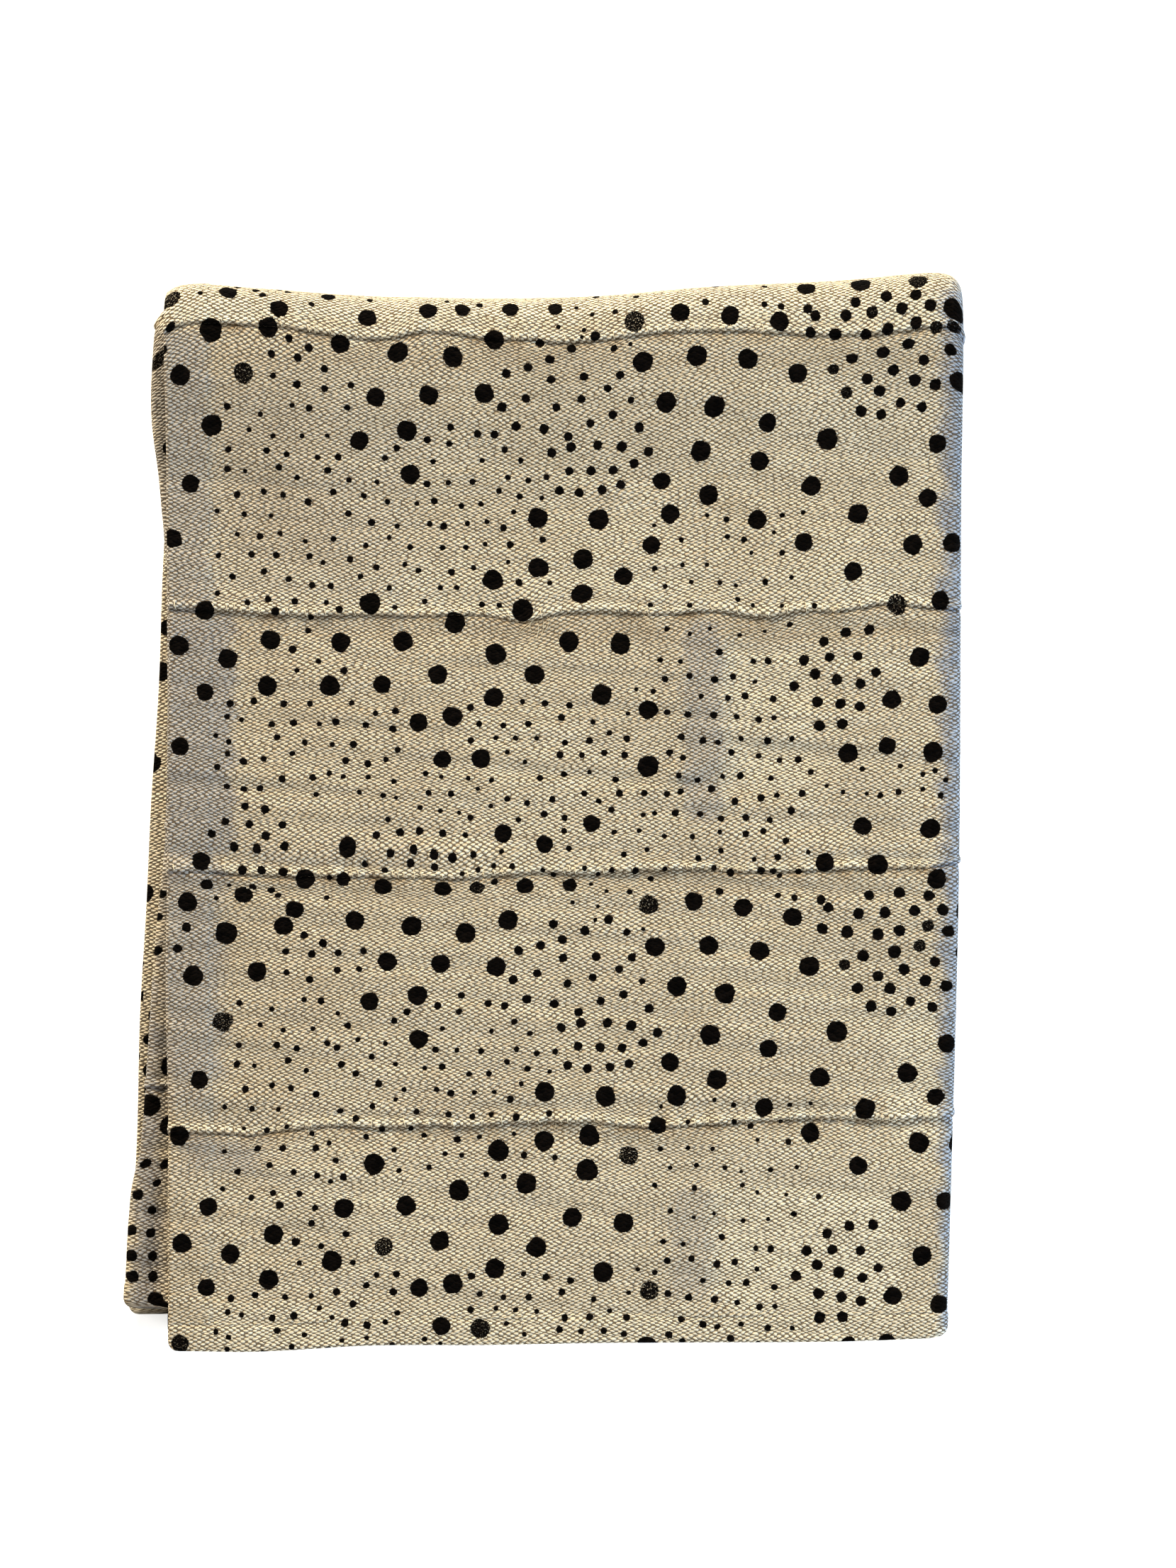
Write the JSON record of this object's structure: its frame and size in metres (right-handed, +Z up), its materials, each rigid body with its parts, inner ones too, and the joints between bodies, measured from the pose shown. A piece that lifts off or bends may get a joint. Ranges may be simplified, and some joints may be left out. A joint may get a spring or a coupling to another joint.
{
  "type": "folded mud cloth",
  "caption": "Folded hand-woven cotton mud cloth of sewn strips, dotted face up, folded in quarters along the strips and once across over a soft roll.",
  "frame": {"origin": "middle of the footprint on the surface the cloth rests on", "axes": "+X along the woven strips towards the closed side fold, +Y from the open lower edge to the rolled fold, +Z up"},
  "size_m": [0.4022, 0.5152, 0.0365],
  "materials": {
    "cotton": "unbleached cream hand-woven cotton, matt, with black mud-dyed dots"
  },
  "bodies": {
    "root": {"strip_1": "cotton", "strip_2": "cotton", "strip_3": "cotton", "strip_4": "cotton", "strip_5": "cotton", "strip_6": "cotton", "strip_7": "cotton", "strip_8": "cotton"}
  },
  "joints": []
}
